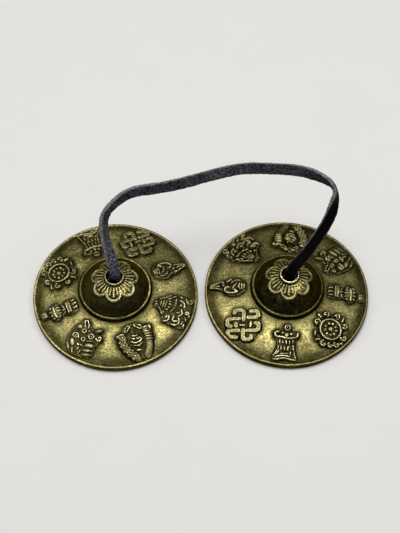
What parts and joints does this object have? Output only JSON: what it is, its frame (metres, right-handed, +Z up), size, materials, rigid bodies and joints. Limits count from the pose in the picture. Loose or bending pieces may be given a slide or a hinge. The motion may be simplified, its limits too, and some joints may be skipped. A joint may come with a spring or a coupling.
{
  "type": "tingsha cymbals",
  "caption": "Small thick cast cymbals with raised auspicious symbols and a domed boss, tied together by a knotted flat leather thong and struck rim to rim to ring.",
  "frame": {"origin": "midway between the two cymbals, on the surface that they lie on", "axes": "+X from the left cymbal's centre to the right one's, +Y away from the viewer, to where the thong leans, +Z up"},
  "size_m": [0.1328, 0.065, 0.0532],
  "materials": {
    "aged_brass": "cast, dark patina in the recesses, rubbed bright on the high spots",
    "thong_leather": "black grain on one face, grey suede on the other"
  },
  "bodies": {
    "thong": {"strap": "thong_leather"},
    "left_stopper": {"left_knot": "thong_leather", "left_tail": "thong_leather"},
    "right_stopper": {"right_knot": "thong_leather", "right_tail": "thong_leather"},
    "left_plate": {"left_cymbal": "aged_brass"},
    "right_plate": {"right_cymbal": "aged_brass"}
  },
  "joints": [
    {"name": "left_tilt", "type": "hinge", "parent": "thong", "child": "left_stopper", "pos_m": [-0.0339, 0, 0.01476], "axis": [0.9976, 0.0698, 0], "range_deg": [-25, 25]},
    {"name": "left_spin", "type": "hinge", "parent": "left_stopper", "child": "left_plate", "pos_m": [-0.0339, 0, 0.01476], "axis": [0, 0, 1], "continuous": true},
    {"name": "right_tilt", "type": "hinge", "parent": "thong", "child": "right_stopper", "pos_m": [0.0339, 0, 0.01476], "axis": [0.9721, -0.2344, 0], "range_deg": [-25, 25]},
    {"name": "right_spin", "type": "hinge", "parent": "right_stopper", "child": "right_plate", "pos_m": [0.0339, 0, 0.01476], "axis": [0, 0, 1], "continuous": true}
  ]
}
